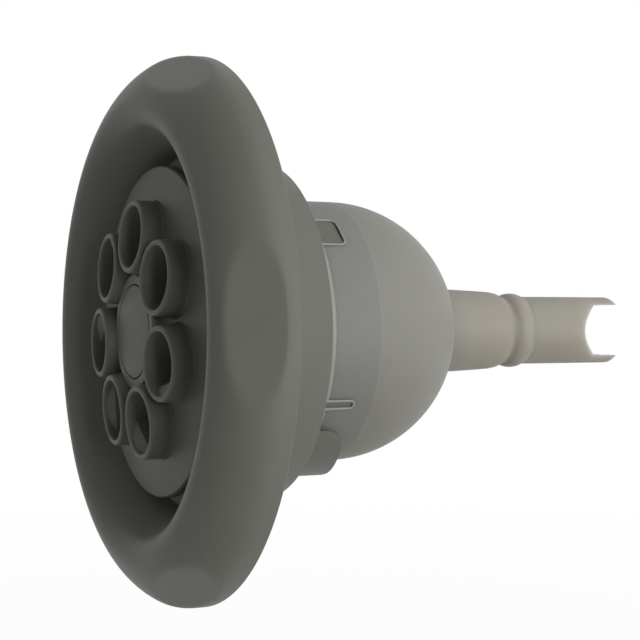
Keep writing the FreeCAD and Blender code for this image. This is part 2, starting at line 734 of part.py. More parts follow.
def make_bearing():
    """The ball bearing: two races, a cage, its balls and the ring that holds it in the rotor's hub."""
    middle = bearing_front + bearing_width / 2
    track = ball_radius + ball_gap
    reach_in = root(track * track - (ball_pitch - inner_land) * (ball_pitch - inner_land))
    reach_out = root(track * track - (outer_land - ball_pitch) * (outer_land - ball_pitch))

    inner = new_body("bearing_inner_race")
    section = [
        (bearing_front, bearing_bore),
        (bearing_rear, bearing_bore),
        (bearing_rear, inner_land),
        (middle + reach_in, inner_land),
        (middle - reach_in, inner_land),
        (bearing_front, inner_land),
    ]
    revolve(inner, "inner_race_turned", draw(inner, "inner_race_section", section, {3: (track, 1)}))

    outer = new_body("bearing_outer_race")
    section = [
        (bearing_front, bearing_outer),
        (bearing_front, outer_land),
        (middle - reach_out, outer_land),
        (middle + reach_out, outer_land),
        (bearing_rear, outer_land),
        (bearing_rear, bearing_outer),
    ]
    revolve(outer, "outer_race_turned", draw(outer, "outer_race_section", section, {2: (track, 1)}))

    cage = new_body("bearing_cage", turn=rotor_turn)
    inside = inner_land + cage_gap
    outside = outer_land - cage_gap
    ring_section(cage, "cage_ring", middle - cage_reach, middle + cage_back, inside, outside)
    hole = ball_radius + pocket_gap
    quarters = {0: (hole, 1), 1: (hole, 1), 2: (hole, 1), 3: (hole, 1)}
    rim = [(middle - hole, 0), (middle, hole), (middle + hole, 0), (middle, -hole)]
    pocket = cut_outwards(cage, "pocket", draw(cage, "pocket_outline", rim, quarters), bearing_outer)
    repeat_round(cage, "pockets", [pocket], ball_count)

    balls = []
    for number in range(ball_count):
        ball = doc.addObject("Part::Sphere", f"bearing_ball_{number + 1}")
        ball.Label = f"bearing_ball_{number + 1}"
        bind(ball, "Radius", ball_radius)
        angle = as_size(360.0 * number / ball_count) - rotor_turn
        bind(ball, "Placement.Base.x", ball_pitch * cosine(angle))
        bind(ball, "Placement.Base.y", middle - datum_at)
        bind(ball, "Placement.Base.z", ball_pitch * sine(angle))
        balls.append(ball)

    holder = new_body("bearing_retaining_ring", turn=rotor_turn)
    outside = bearing_outer + race_gap + ring_groove - ring_play
    inside = outside - ring_width
    front = bearing_rear + ring_play
    rear = front + ring_thickness
    outline = [(front, inside), (rear, inside), (rear, outside), (front, outside)]
    revolve(holder, "ring_swept", draw(holder, "ring_outline", outline), angle=ring_angle)
    return [inner, outer, cage, *balls, holder]


def make_carrier():
    """The spider that sits in the barrel's taper and carries the bearing on its spindle."""
    body = new_body("bearing_carrier")
    hole = screw_radius + screw_clear
    spindle = bearing_bore - spindle_gap
    hole_end = bearing_front - washer_thickness + screw_length + screw_tip
    section = [
        (bearing_front + spindle_recess, hole),
        (bearing_front + spindle_recess, spindle),
        (bearing_rear, spindle),
        (bearing_rear, spindle_shoulder),
        (carrier_neck, spindle_shoulder),
        (carrier_hub_front, carrier_hub),
        (carrier_rear, carrier_hub),
        (carrier_nose, nose_flat),
        (carrier_nose, 0),
        (hole_end, 0),
        (hole_end, hole),
    ]
    revolve(body, "hub_turned", draw(body, "hub_section", section, {6: (nose_round, 1)}))
    under = seat_gap + carrier_wall / 2
    arm_outline = [
        (arm_front, carrier_hub / 2),
        (arm_rear, carrier_hub / 2),
        (arm_rear, taper_radius(arm_rear) - under),
        (arm_front, taper_radius(arm_front) - under),
    ]
    arm = pad(body, "arm", draw(body, "arm_outline", arm_outline, turn=arm_turn), arm_thickness)
    repeat_round(body, "arms", [arm], arm_count)
    ring = [
        (carrier_front, taper_radius(carrier_front) - seat_gap - carrier_wall),
        (carrier_rear, taper_radius(carrier_rear) - seat_gap - carrier_wall),
        (carrier_rear, taper_radius(carrier_rear) - seat_gap),
        (carrier_front, taper_radius(carrier_front) - seat_gap),
    ]
    revolve(body, "ring_turned", draw(body, "ring_section", ring))
    return body


def make_screw():
    """The screw that clamps the inner race to the spindle."""
    body = new_body("carrier_screw")
    seat = bearing_front - washer_thickness
    front = seat - screw_head_height
    section = [
        (front, 0),
        (front, screw_head_radius - screw_head_round),
        (front + screw_head_round, screw_head_radius),
        (seat, screw_head_radius),
        (seat, screw_radius),
        (seat + screw_length, screw_radius),
        (seat + screw_length, 0),
    ]
    revolve(body, "screw_turned", draw(body, "screw_section", section, {1: (screw_head_round, 1)}))
    reach = screw_head_radius - screw_slot_edge
    deep = front + screw_slot_depth
    slot = [(front, -reach), (front, reach), (deep, reach), (deep, -reach)]
    cut_both_ways(body, "slot_up", draw(body, "slot_up_outline", slot), screw_slot)
    cut_both_ways(body, "slot_across", draw(body, "slot_across_outline", slot, turn=90), screw_slot)
    return body


def make_washer():
    """The washer between the screw's head and the inner race."""
    body = new_body("screw_washer")
    front = bearing_front - washer_thickness
    inside = screw_radius + washer_clear
    outside = bearing_bore + washer_edge
    ring_section(body, "washer_ring", front, bearing_front, inside, outside)
    return body


def make_diffuser():
    """The translucent moulding: a collar that runs into a dome, and the forked stem behind it."""
    body = new_body("diffuser")
    inner = dome_radius - dome_wall
    root_radius = stem_radius + stem_root_flare
    mouth_radius = stem_bore + stem_mouth_flare
    root_at = dome_centre + root(dome_radius * dome_radius - root_radius * root_radius)
    mouth_at = dome_centre + root(inner * inner - mouth_radius * mouth_radius)
    section = [
        (collar_front, inner),
        (collar_front, dome_radius),
        (dome_centre, dome_radius),
        (root_at, root_radius),
        (stem_taper_rear, stem_radius + stem_taper_flare),
        (groove_at, stem_radius),
        (groove_at + bead_length * 0.35, stem_radius + bead_height),
        (groove_at + bead_length * 0.7, stem_radius + bead_height),
        (groove_at + bead_length, stem_radius),
        (stem_rear - stem_chamfer, stem_radius),
        (stem_rear, stem_radius - stem_chamfer),
        (stem_rear, stem_bore),
        (dome_centre + stem_mouth_length, stem_bore),
        (mouth_at, mouth_radius),
        (dome_centre, inner),
        (barrel_rear, inner - ledge_height),
        (barrel_rear, inner),
    ]
    arcs = {2: (dome_radius, 1), 4: (root_round, 1), 13: (inner, -1)}
    revolve(body, "diffuser_turned", draw(body, "diffuser_section", section, arcs))

    half = fork_half_width
    apex = stem_rear - fork_depth
    beyond = stem_rear + stem_chamfer
    slot = [(apex, 0), (apex + half, half), (beyond, half), (beyond, -half), (apex + half, -half)]
    fork = draw(body, "fork_outline", slot, {0: (half, 1), 4: (half, 1)})
    cut_both_ways(body, "fork", fork, 4 * stem_radius)

    half = notch_width / 2
    ahead = collar_front - notch_corner
    foot = collar_front + notch_depth
    notch = [
        (ahead, -half),
        (ahead, half),
        (foot - notch_corner, half),
        (foot, half - notch_corner),
        (foot, notch_corner - half),
        (foot - notch_corner, -half),
    ]
    rounds = {2: (notch_corner, 1), 4: (notch_corner, 1)}
    cut_outwards(body, "notch", draw(body, "notch_outline", notch, rounds, turn=-notch_turn), 2 * dome_radius)

    half = slit_width / 2
    foot = collar_front + slit_depth
    slit = [(ahead, -half), (ahead, half), (foot - half, half), (foot, 0), (foot - half, -half)]
    rounds = {2: (half, 1), 3: (half, 1)}
    cut_outwards(body, "slit", draw(body, "slit_outline", slit, rounds, turn=-slit_turn), 2 * dome_radius)
    return body


nodes = [
    make_escutcheon(),
    make_rotor(),
    make_cap(),
    *make_bearing(),
    make_carrier(),
    make_screw(),
    make_washer(),
    make_diffuser(),
]
doc.recompute()

for thing in doc.Objects:
    if "Invalid" in thing.State or "Error" in thing.State:
        raise RuntimeError(f"{thing.Label} did not compute: {thing.getStatusString()}")

os.makedirs("parts", exist_ok=True)
for node in nodes:
    shape = node.Shape
    if shape.isNull() or not shape.isValid() or len(shape.Solids) != 1:
        raise RuntimeError(f"{node.Label} is not one sound solid")
    shape.exportStep(f"parts/{node.Label}.step")
    box = shape.optimalBoundingBox(True, False)
    span = " ".join(f"{low:.2f}..{high:.2f}" for low, high in zip(
        (box.XMin, box.YMin, box.ZMin), (box.XMax, box.YMax, box.ZMax)))
    print(f"{node.Label}: {shape.Volume:.0f} mm3, {span}")
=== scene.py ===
import math

import bmesh
import bpy
from bpy.props import FloatProperty, FloatVectorProperty, IntProperty, PointerProperty
from bpy.types import Operator, Panel, PropertyGroup
from mathutils import Matrix, Vector


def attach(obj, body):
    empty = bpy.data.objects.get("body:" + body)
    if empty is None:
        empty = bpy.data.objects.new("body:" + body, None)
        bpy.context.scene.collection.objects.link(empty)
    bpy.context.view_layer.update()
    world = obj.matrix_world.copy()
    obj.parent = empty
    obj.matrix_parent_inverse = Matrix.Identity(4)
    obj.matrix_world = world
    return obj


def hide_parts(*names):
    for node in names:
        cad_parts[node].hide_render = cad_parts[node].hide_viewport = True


bl_info = {
    "name": "Hot Tub Jet",
    "version": (1, 0, 0),
    "blender": (4, 5, 0),
    "location": "View3D > Sidebar > Jet",
    "description": "Dresses a hot tub jet: its moulded face, spinning rotor, cap and translucent diffuser",
    "category": "Object",
}

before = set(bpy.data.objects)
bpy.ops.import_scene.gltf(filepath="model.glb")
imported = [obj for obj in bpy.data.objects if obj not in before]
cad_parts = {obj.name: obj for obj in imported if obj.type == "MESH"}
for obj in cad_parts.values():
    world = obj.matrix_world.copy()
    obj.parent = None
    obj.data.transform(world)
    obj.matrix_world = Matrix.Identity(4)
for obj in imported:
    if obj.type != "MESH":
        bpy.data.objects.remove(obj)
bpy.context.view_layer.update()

# Stations along the jet are millimetres back from the front of its face, and radii are from its axis.
DATUM = 47.9
SIDES = 240
SHARP_ANGLE = math.radians(35)
PORT_DEPTH = 16.0
QUARTER_TURN = [math.pi / 2 * i / 8 for i in range(9)]
# Where the barrel and the collar that clips over it meet: their ends, and the turns of notch and slit in degrees.
COLLAR_FRONT = 36.9
BARREL_END = 50.1
NOTCH_TURN = 47.0
SLIT_TURN = -31.6


def cosine(degrees):
    return math.cos(math.radians(degrees))


def sine(degrees):
    return math.sin(math.radians(degrees))


def hex_colour(code):
    """A hex sRGB colour as the linear colour that shaders take."""
    parts = [int(code[i : i + 2], 16) / 255 for i in (1, 3, 5)]
    linear = [p / 12.92 if p <= 0.04045 else ((p + 0.055) / 1.055) ** 2.4 for p in parts]
    return (*linear, 1.0)


def add(tree, kind, inputs=None, **settings):
    """Add a node with its settings; each input is a value, or a socket to link from."""
    node = tree.nodes.new(kind)
    for name, value in settings.items():
        setattr(node, name, value)
    for key, value in (inputs or {}).items():
        if isinstance(value, bpy.types.NodeSocket):
            tree.links.new(value, node.inputs[key])
        else:
            node.inputs[key].default_value = value
    return node


def maths(tree, operation, *values):
    """The result of one sum; each value is a number, or a socket to link from."""
    return add(tree, "ShaderNodeMath", dict(enumerate(values)), operation=operation).outputs[0]


def new_tree(name, sockets):
    """A geometry tree with named inputs, its input node and one geometry output."""
    tree = bpy.data.node_groups.new(name, "GeometryNodeTree")
    for socket, kind in sockets:
        tree.interface.new_socket(name=socket, in_out="INPUT", socket_type=f"NodeSocket{kind}")
    tree.interface.new_socket(name="Geometry", in_out="OUTPUT", socket_type="NodeSocketGeometry")
    return tree, add(tree, "NodeGroupInput").outputs


def finish_tree(tree, geometry, material):
    """End a tree in real geometry that carries its material."""
    real = add(tree, "GeometryNodeRealizeInstances", {"Geometry": geometry}).outputs[0]
    painted = add(tree, "GeometryNodeSetMaterial", {"Geometry": real, "Material": material}).outputs[0]
    add(tree, "NodeGroupOutput", {"Geometry": painted})
    return tree


def lathe_tree():
    """Turns a closed profile, whose x is the radius and y the station, about the jet's axis."""
    tree, given = new_tree("turned_section", [("Profile", "Geometry"), ("Sides", "Int"), ("Material", "Material")])
    size = add(tree, "GeometryNodeAttributeDomainSize", {"Geometry": given["Profile"]}, component="MESH")
    rows = maths(tree, "ADD", size.outputs["Point Count"], 1.0)
    columns = maths(tree, "ADD", given["Sides"], 1.0)
    grid = add(tree, "GeometryNodeMeshGrid", {"Vertices X": rows, "Vertices Y": columns})
    index = add(tree, "GeometryNodeInputIndex")
    ratio = maths(tree, "DIVIDE", index.outputs[0], columns)
    # A hair is added before rounding down, so that a whole ratio never falls to the row below.
    nudged = maths(tree, "ADD", ratio, 0.0005)
    row = maths(tree, "FLOOR", nudged)
    share = maths(tree, "SUBTRACT", ratio, row)
    step = maths(tree, "MULTIPLY", share, columns)
    whole = maths(tree, "ROUND", step)
    turn = maths(tree, "DIVIDE", whole, given["Sides"])
    angle = maths(tree, "MULTIPLY", turn, math.tau)
    looped = maths(tree, "MODULO", row, size.outputs["Point Count"])
    place = add(tree, "GeometryNodeInputPosition")
    sample = add(
        tree,
        "GeometryNodeSampleIndex",
        {"Geometry": given["Profile"], "Value": place.outputs[0], "Index": looped},
        data_type="FLOAT_VECTOR",
        domain="POINT",
    )
    point = add(tree, "ShaderNodeSeparateXYZ", {0: sample.outputs[0]})
    cosine = maths(tree, "COSINE", angle)
    sine = maths(tree, "SINE", angle)
    x = maths(tree, "MULTIPLY", point.outputs["X"], cosine)
    z = maths(tree, "MULTIPLY", point.outputs["X"], sine)
    put = add(tree, "ShaderNodeCombineXYZ", {"X": x, "Y": point.outputs["Y"], "Z": z})
    moved = add(tree, "GeometryNodeSetPosition", {"Geometry": grid.outputs["Mesh"], "Position": put.outputs[0]})
    closed = add(tree, "GeometryNodeMergeByDistance", {"Geometry": moved.outputs[0], "Distance": 1e-6})
    return finish_tree(tree, closed.outputs[0], given["Material"])


def flats_tree():
    """Presses finger flats into a turned face: whatever stands out of a flat's plane is laid back on it."""
    inputs = [
        ("Geometry", "Geometry"),
        ("Count", "Int"),
        ("Turn", "Float"),
        ("Station", "Float"),
        ("Radius", "Float"),
        ("Slope", "Float"),
        ("Softness", "Float"),
        ("Material", "Material"),
    ]
    tree, given = new_tree("finger_flats", inputs)

    place = add(tree, "ShaderNodeSeparateXYZ", {0: add(tree, "GeometryNodeInputPosition").outputs[0]})
    x, y, z = (place.outputs[i] for i in range(3))
    # The angle from the middle of the nearest flat, and how far out and across from it a point lies.
    angle = maths(tree, "ARCTAN2", z, x)
    x_part = maths(tree, "MULTIPLY", x, x)
    reach = maths(tree, "MULTIPLY_ADD", z, z, x_part)
    reach = maths(tree, "SQRT", reach)
    half = maths(tree, "DIVIDE", math.pi, given["Count"])
    minus_half = maths(tree, "MULTIPLY", half, -1.0)
    aside = maths(tree, "SUBTRACT", angle, given["Turn"])
    aside = maths(tree, "WRAP", aside, half, minus_half)
    middle = maths(tree, "SUBTRACT", angle, aside)
    out = maths(tree, "COSINE", aside)
    out = maths(tree, "MULTIPLY", out, reach)
    across = maths(tree, "SINE", aside)
    across = maths(tree, "MULTIPLY", across, reach)
    # How far the point stands proud of the flat's plane, softened where the plane runs out.
    lean_out = maths(tree, "COSINE", given["Slope"])
    lean_front = maths(tree, "SINE", given["Slope"])
    beyond = maths(tree, "SUBTRACT", out, given["Radius"])
    behind = maths(tree, "SUBTRACT", given["Station"], y)
    front_part = maths(tree, "MULTIPLY", behind, lean_front)
    proud = maths(tree, "MULTIPLY_ADD", beyond, lean_out, front_part)
    push = maths(tree, "SMOOTH_MAX", proud, 0.0, given["Softness"])
    inward = maths(tree, "MULTIPLY", push, lean_out)
    new_out = maths(tree, "SUBTRACT", out, inward)
    new_y = maths(tree, "MULTIPLY_ADD", push, lean_front, y)
    cosine = maths(tree, "COSINE", middle)
    sine = maths(tree, "SINE", middle)
    x_out = maths(tree, "MULTIPLY", new_out, cosine)
    x_across = maths(tree, "MULTIPLY", across, sine)
    new_x = maths(tree, "SUBTRACT", x_out, x_across)
    z_across = maths(tree, "MULTIPLY", across, cosine)
    new_z = maths(tree, "MULTIPLY_ADD", new_out, sine, z_across)
    put = add(tree, "ShaderNodeCombineXYZ", {"X": new_x, "Y": new_y, "Z": new_z})
    moved = add(tree, "GeometryNodeSetPosition", {"Geometry": given["Geometry"], "Position": put.outputs[0]})
    return finish_tree(tree, moved.outputs[0], given["Material"])


def round_tree():
    """Repeats a piece evenly about the jet's axis."""
    inputs = [("Geometry", "Geometry"), ("Count", "Int"), ("Turn", "Float"), ("Material", "Material")]
    tree, given = new_tree("repeat_round_axis", inputs)
    points = add(tree, "GeometryNodePoints", {"Count": given["Count"]})
    index = add(tree, "GeometryNodeInputIndex")
    share = maths(tree, "DIVIDE", index.outputs[0], given["Count"])
    turn = maths(tree, "MULTIPLY", share, -math.tau)
    whole = maths(tree, "SUBTRACT", turn, given["Turn"])
    rotation = add(tree, "ShaderNodeCombineXYZ", {"Y": whole})
    placed = add(
        tree,
        "GeometryNodeInstanceOnPoints",
        {"Points": points.outputs[0], "Instance": given["Geometry"], "Rotation": rotation.outputs[0]},
    )
    return finish_tree(tree, placed.outputs[0], given["Material"])


def metres(station, radius):
    """A point in metres, straight out along x, from its station and radius in millimetres."""
    return Vector((radius / 1000, (station - DATUM) / 1000, 0))


def mesh_object(name, vertices, edges, faces):
    """A mesh object from points in metres."""
    mesh = bpy.data.meshes.new(name)
    mesh.from_pydata([tuple(v) for v in vertices], edges, faces)
    obj = bpy.data.objects.new(name, mesh)
    bpy.context.scene.collection.objects.link(obj)
    return obj


def run_tree(obj, tree, **values):
    """Give an object a geometry tree with its inputs set by the sockets' identifiers."""
    modifier = obj.modifiers.new(tree.name, "NODES")
    modifier.node_group = tree
    for item in tree.interface.items_tree:
        if item.in_out == "INPUT" and item.name in values:
            modifier[item.identifier] = values[item.name]
    return obj


def settle(obj):
    """Turn an object and its modifiers into a plain mesh."""
    bpy.context.view_layer.update()
    graph = bpy.context.evaluated_depsgraph_get()
    mesh = bpy.data.meshes.new_from_object(obj.evaluated_get(graph))
    obj.modifiers.clear()
    obj.data = mesh
    return obj


def turned(name, profile, material, sides=SIDES):
    """A profile of (station, radius) pairs turned about the jet's axis."""
    count = len(profile)
    edges = [(i, (i + 1) % count) for i in range(count)]
    obj = mesh_object(name, [metres(*p[:2]) for p in profile], edges, [])
    obj.data.materials.append(material)
    run_tree(obj, TREES["lathe"], Sides=sides, Material=material)
    settle(obj)
    return face_outwards(obj)


def face_outwards(obj):
    """Point a closed mesh's faces outwards."""
    work = bmesh.new()
    work.from_mesh(obj.data)
    bmesh.ops.remove_doubles(work, verts=work.verts, dist=1e-6)
    bmesh.ops.dissolve_degenerate(work, dist=1e-7, edges=work.edges)
    bmesh.ops.recalc_face_normals(work, faces=work.faces)
    work.to_mesh(obj.data)
    work.free()
    return obj


def arc(centre, reach, start, end, steps):
    """Points on a round. The angle is 0 straight out from the axis and 90 towards the front."""
    points = []
    for i in range(steps + 1):
        a = math.radians(start + (end - start) * i / steps)
        points.append((centre[0] - reach * math.sin(a), centre[1] + reach * math.cos(a)))
    return points


def rounded(corners, steps=5):
    """A closed profile whose corners (station, radius, round) are eased by their own rounds."""
    points = []
    count = len(corners)
    for i, corner in enumerate(corners):
        here = Vector(corner[:2])
        if len(corner) < 3 or corner[2] <= 0:
            points.append(tuple(here))
            continue
        before = Vector(corners[i - 1][:2]) - here
        after = Vector(corners[(i + 1) % count][:2]) - here
        opening = before.angle(after)
        if opening > math.pi - 0.02:
            points.append(tuple(here))
            continue
        back = min(corner[2] / math.tan(opening / 2), 0.48 * before.length, 0.48 * after.length)
        reach = back * math.tan(opening / 2)
        middle = (before.normalized() + after.normalized()).normalized()
        centre = here + middle * (reach / math.sin(opening / 2))
        first = here + before.normalized() * back - centre
        last = here + after.normalized() * back - centre
        sweep = first.angle_signed(last)
        for k in range(steps + 1):
            spoke = first.copy()
            spoke.rotate(Matrix.Rotation(-sweep * k / steps, 2))
            points.append(tuple(centre + spoke))
    return points


def drawn_out(name, vertices, turn):
    """A solid between two like outlines, given one after the other, turned in degrees about the jet's axis."""
    count = len(vertices) // 2
    faces = [tuple(range(count)), tuple(range(2 * count - 1, count - 1, -1))]
    faces += [(i, i + count, (i + 1) % count + count, (i + 1) % count) for i in range(count)]
    obj = mesh_object(name, vertices, [], faces)
    obj.data.transform(Matrix.Rotation(-math.radians(turn), 4, "Y"))
    return face_outwards(obj)


def block(name, section, half_width, turn=0.0):
    """A straight-sided block: (station, radius) pairs give its section, half_width its thickness."""
    vertices = [(r / 1000, (s - DATUM) / 1000, side * half_width / 1000) for side in (-1, 1) for s, r in section]
    return drawn_out(name, vertices, turn)


def prism(name, outline, low, high, turn=0.0):
    """An outline of (station, across) pairs drawn out along the radius from low to high."""
    vertices = [(x / 1000, (s - DATUM) / 1000, w / 1000) for x in (low, high) for s, w in outline]
    return drawn_out(name, vertices, turn)


def cut(obj, tools, operation="DIFFERENCE"):
    """Cut tools out of a mesh, or join them to it, and remove the tools."""
    for tool in tools:
        modifier = obj.modifiers.new("cut", "BOOLEAN")
        modifier.operation = operation
        modifier.solver = "EXACT"
        modifier.object = tool
        settle(obj)
        bpy.data.objects.remove(tool)
    return obj


def joined(name, parts, material):
    """Several meshes as one object of one material."""
    work = bmesh.new()
    for part in parts:
        work.from_mesh(part.data)
    mesh = bpy.data.meshes.new(name)
    work.to_mesh(mesh)
    work.free()
    mesh.materials.append(material)
    for part in parts:
        bpy.data.objects.remove(part)
    for polygon in mesh.polygons:
        polygon.material_index = 0
    obj = bpy.data.objects.new(name, mesh)
    bpy.context.scene.collection.objects.link(obj)
    return obj


def hand_over(obj, body, nodes):
    """Shade a finished piece, fix it to its body and let it stand for its CAD nodes."""
    obj.data.shade_smooth()
    obj.data.set_sharp_from_angle(angle=SHARP_ANGLE)
    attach(obj, body)
    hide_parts(*nodes)
    return obj


def mix_colours(tree, factor, first, second):
    """A colour between two others."""
    mix = add(tree, "ShaderNodeMix", {"Factor": factor, "A": first, "B": second}, data_type="RGBA")
    return mix.outputs["Result"]


def moulded_abs(colour):
    """Injection moulded ABS, satin from the tool's fine spark texture: even grey, with broad soft gloss."""
    material = bpy.data.materials.new("moulded_grey_abs")
    material.use_nodes = True
    tree = material.node_tree
    tree.nodes.clear()
    coords = add(tree, "ShaderNodeTexCoord").outputs["Object"]
    # Cloudy flow shades about 12 mm wide, which moulded grey plastic shows faintly.
    cloud = add(tree, "ShaderNodeTexNoise", {"Vector": coords, "Scale": 80.0, "Detail": 3.0, "Roughness": 0.5})
    darker, paler = (tuple(c * share for c in colour[:3]) + (1,) for share in (0.95, 1.05))
    tint = mix_colours(tree, cloud.outputs["Fac"], darker, paler)
    # Spark texture is about 0.05 mm; it is drawn at 0.3 mm so that it shows as a slight softness.
    grain = add(tree, "ShaderNodeTexNoise", {"Vector": coords, "Scale": 3300.0, "Detail": 2.0})
    bump = add(tree, "ShaderNodeBump", {"Height": grain.outputs["Fac"], "Strength": 0.06, "Distance": 0.0001})
    shader = add(
        tree,
        "ShaderNodeBsdfPrincipled",
        {"Base Color": tint, "Roughness": 0.45, "IOR": 1.54, "Specular IOR Level": 0.1, "Normal": bump.outputs[0]},
    )
    add(tree, "ShaderNodeOutputMaterial", {"Surface": shader.outputs[0]})
    return material


def natural_polypropylene(collar, dome, stem):
    """Natural polypropylene, moulded: milky and translucent, so light soaks through its thin walls.

    Its colour is painted with what lies behind it: painted shade where the grey barrel darkens the collar, and painted
    light where the hollow stem is palest.
    """
    material = bpy.data.materials.new("natural_polypropylene_painted_shade")
    material.use_nodes = True
    tree = material.node_tree
    tree.nodes.clear()
    coords = add(tree, "ShaderNodeTexCoord").outputs["Object"]
    along = add(tree, "ShaderNodeSeparateXYZ", {0: coords}).outputs["Y"]
    # The painted shade turns within 1.5 mm at the barrel's end, and the painted light over 9 mm where the dome narrows
    # to the stem.
    past_barrel = add(tree, "ShaderNodeMapRange", {"Value": along, "From Min": 0.0014, "From Max": 0.0029})
    past_dome = add(tree, "ShaderNodeMapRange", {"Value": along, "From Min": 0.0305, "From Max": 0.0395})
    shade = mix_colours(tree, past_barrel.outputs[0], collar, dome)
    shade = mix_colours(tree, past_dome.outputs[0], shade, stem)
    # A pale line 0.8 mm wide is painted light where the barrel ends inside.
    ring = maths(tree, "COMPARE", along, 0.0021, 0.0004)
    ring = maths(tree, "MULTIPLY", ring, 0.3)
    shade = mix_colours(tree, ring, shade, stem)
    # Cloudy flow shades about 16 mm wide.
    cloud = add(tree, "ShaderNodeTexNoise", {"Vector": coords, "Scale": 60.0, "Detail": 3.0})
    depth = add(tree, "ShaderNodeMapRange", {"Value": cloud.outputs["Fac"], "To Min": 0.97, "To Max": 1.03})
    tint = add(tree, "ShaderNodeVectorMath", {0: shade, 1: depth.outputs[0]}, operation="MULTIPLY")
    shader = add(
        tree,
        "ShaderNodeBsdfPrincipled",
        {
            "Base Color": tint.outputs[0],
            "Roughness": 0.55,
            "IOR": 1.49,
            "Specular IOR Level": 0.3,
            "Subsurface Weight": 1.0,
            "Subsurface Radius": (1.0, 0.95, 0.85),
            "Subsurface Scale": 0.01,
        },
    )
    add(tree, "ShaderNodeOutputMaterial", {"Surface": shader.outputs[0]})
    return material


def plain_material(name, colour, roughness, metallic=0.0, ior=1.5):
    """A plain finish, for the hidden pieces and for the painted glow of the collar's raised edge."""
    material = bpy.data.materials.new(name)
    material.use_nodes = True
    shader = material.node_tree.nodes["Principled BSDF"]
    shader.inputs["Base Color"].default_value = colour
    shader.inputs["Roughness"].default_value = roughness
    shader.inputs["Metallic"].default_value = metallic
    shader.inputs["IOR"].default_value = ior
    return material


def colour_property(name, code, description):
    return FloatVectorProperty(
        name=name, description=description, subtype="COLOR", size=3, min=0, max=1, default=hex_colour(code)[:3]
    )


def length_property(name, millimetres, description):
    return FloatProperty(
        name=name, description=description, default=millimetres / 1000, unit="LENGTH", subtype="DISTANCE", precision=5
    )


def angle_property(name, degrees, description):
    return FloatProperty(name=name, description=description, default=math.radians(degrees), subtype="ANGLE")


def level_property(name, level, description):
    return FloatProperty(name=name, description=description, default=level, min=0)


class JetFaceSettings(PropertyGroup):
    colour: colour_property("Grey", "#666760", "Grey of the moulded pieces")
    rim_radius: length_property("Rim radius", 63.5, "Largest radius of the face")
    rim_rear: length_property("Rim rear", 14.8, "Station of the rim's rear edge")
    flat_count: IntProperty(name="Flats", description="Number of finger flats", default=5, min=1)
    flat_turn: angle_property("Flat turn", 2, "Angle of the first flat")
    flat_softness: length_property("Flat softness", 0.55, "How softly a flat runs out into the face")
    rib_count: IntProperty(name="Ribs", description="Number of ribs behind the face", default=10, min=1)


class JetRotorSettings(PropertyGroup):
    port_count: IntProperty(name="Ports", description="Number of ports", default=7, min=1)
    port_pitch: length_property("Port circle", 21.84, "Radius of the port circle at the lips")
    port_radius: length_property("Port radius", 8.34, "Outer radius of a port at its lip")
    port_bore: length_property("Port bore", 7.1, "Bore of a port")
    port_splay: angle_property("Splay", 4.6, "Outward splay of each port")
    turn: angle_property("Turn", 84.6, "Angle of the first port")


class JetDiffuserSettings(PropertyGroup):
    # The collar, dome and stem shades are the moulding's colour with painted shade and light: darker where grey pieces
    # lie behind, palest at the hollow stem.
    collar_painted_shade: colour_property("Collar", "#7c7b77", "Shade of the translucent moulding over the barrel")
    dome_painted_shade: colour_property("Dome", "#82817b", "Shade of the translucent moulding at the dome")
    stem_painted_light: colour_property("Stem", "#918d83", "Shade of the translucent moulding at the stem")
    # The edge's colour is a painted glow, paler than the walls.
    edge_painted_glow: colour_property("Edge", "#83847e", "Shade of the raised edge round the collar's front and cuts")
    dome_radius: length_property("Dome radius", 31.5, "Outer radius of the collar and the dome")
    wall: length_property("Wall", 2.25, "Wall of the collar and the dome")


class JetStudioSettings(PropertyGroup):
    lens: FloatProperty(name="Lens", description="Focal length matched to the photograph", default=80.44, unit="CAMERA")
    key: level_property("Key", 0.54, "Level of the broad lamp beside the camera")
    side: level_property("Side", 0.32, "Level of the lamp that grazes the face")
    overhead: level_property("Overhead", 0.33, "Level of the broad lamp overhead")
    fill: level_property("Fill", 0.2, "Level of the even light from all round")


